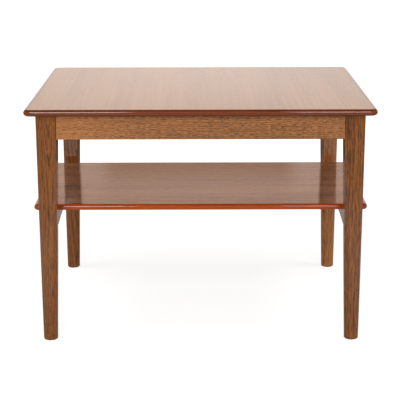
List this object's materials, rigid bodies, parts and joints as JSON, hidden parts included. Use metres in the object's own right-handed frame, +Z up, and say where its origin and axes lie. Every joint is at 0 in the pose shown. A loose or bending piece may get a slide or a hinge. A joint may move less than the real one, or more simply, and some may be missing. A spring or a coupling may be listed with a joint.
{
  "type": "side table with shelf",
  "caption": "Rectangular wooden side table with a bullnosed top, tapered square-to-round legs, aprons and a full-width lower shelf carried on arched side rails.",
  "frame": {"origin": "on the floor, under the middle of the top", "axes": "+X along the length of the top, -Y towards the front, +Z up"},
  "size_m": [0.75, 0.6, 0.525],
  "materials": {
    "top_veneer": "teak veneer, clear lacquer, semi-gloss",
    "shelf_veneer": "teak veneer, clear lacquer, semi-gloss",
    "lipping_teak": "solid teak, clear lacquer, semi-gloss",
    "frame_oak": "solid oak, warm brown stain, satin lacquer",
    "block_pine": "planed, unfinished",
    "button_beech": "planed, unfinished",
    "screw_steel": "bright zinc"
  },
  "bodies": {
    "root": {"top_panel": "top_veneer", "shelf_board": "shelf_veneer", "top_lipping_front": "lipping_teak", "top_lipping_right": "lipping_teak", "top_lipping_back": "lipping_teak", "top_lipping_left": "lipping_teak", "shelf_lipping_front": "lipping_teak", "shelf_lipping_right": "lipping_teak", "shelf_lipping_back": "lipping_teak", "shelf_lipping_left": "lipping_teak", "leg_front_left": "frame_oak", "leg_front_right": "frame_oak", "leg_back_right": "frame_oak", "leg_back_left": "frame_oak", "apron_front": "frame_oak", "apron_right": "frame_oak", "apron_back": "frame_oak", "apron_left": "frame_oak", "shelf_rail_right": "frame_oak", "shelf_rail_left": "frame_oak", "corner_block_front_left": "block_pine", "corner_block_front_right": "block_pine", "corner_block_back_right": "block_pine", "corner_block_back_left": "block_pine", "top_button_front_left": "button_beech", "top_button_front_right": "button_beech", "top_button_right": "button_beech", "top_button_back_right": "button_beech", "top_button_back_left": "button_beech", "top_button_left": "button_beech", "button_screws": "screw_steel", "shelf_screws": "screw_steel"}
  },
  "joints": []
}
